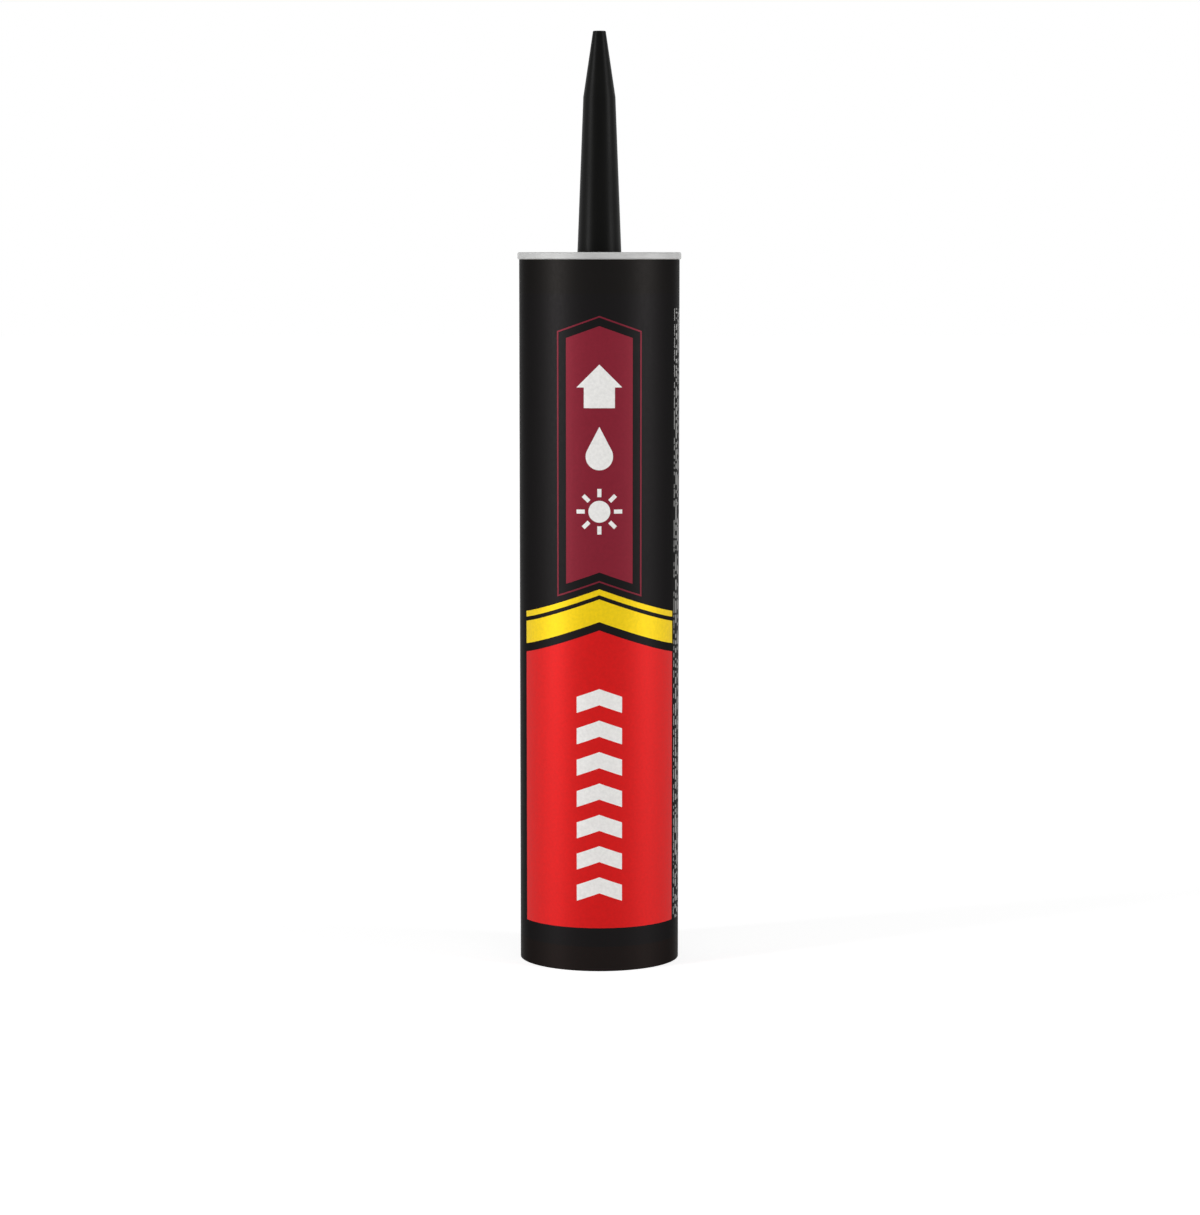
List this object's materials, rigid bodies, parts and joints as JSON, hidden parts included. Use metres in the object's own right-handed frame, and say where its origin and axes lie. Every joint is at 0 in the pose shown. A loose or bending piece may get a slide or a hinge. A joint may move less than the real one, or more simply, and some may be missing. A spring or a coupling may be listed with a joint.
{
  "type": "caulk tube",
  "caption": "Sealant cartridge: paper-wrapped tube with a crimped metal end, a long tapered nozzle with a closed tip, and a plunger that slides up from the open rear.",
  "frame": {"origin": "on the tube's axis, level with its open rear end, on which it stands", "axes": "+Z along the tube's axis, towards the nozzle's tip; the middle of the label's front faces -Y"},
  "size_m": [0.051, 0.051, 0.2903],
  "materials": {
    "paperboard": "matte kraft board, wound in a spiral, with a foil lining",
    "label_black": "coated paper printed black, satin",
    "print_red": "satin ink",
    "print_maroon": "satin ink",
    "print_yellow": "satin ink",
    "print_white": "satin ink",
    "tinplate": "satin tinplate",
    "nozzle_black": "moulded polyethylene, soft gloss",
    "foil": "bright foil",
    "sealant_black": "glossy paste",
    "plunger_natural": "natural moulded polyethylene"
  },
  "bodies": {
    "cartridge": {"paper_tube": "paperboard", "label": "label_black", "red_field": "print_red", "maroon_field": "print_maroon", "yellow_stripes": "print_yellow", "white_marks": "print_white", "outline": "print_maroon", "tinplate_end": "tinplate", "nozzle": "nozzle_black", "inner_seal": "foil", "sealant": "sealant_black"},
    "piston": {"plunger": "plunger_natural"}
  },
  "joints": [
    {"name": "plunger_slide", "type": "slide", "parent": "cartridge", "child": "piston", "axis": [0, 0, 1], "range_m": [0, 0.1718], "deforming": ["sealant"]}
  ]
}
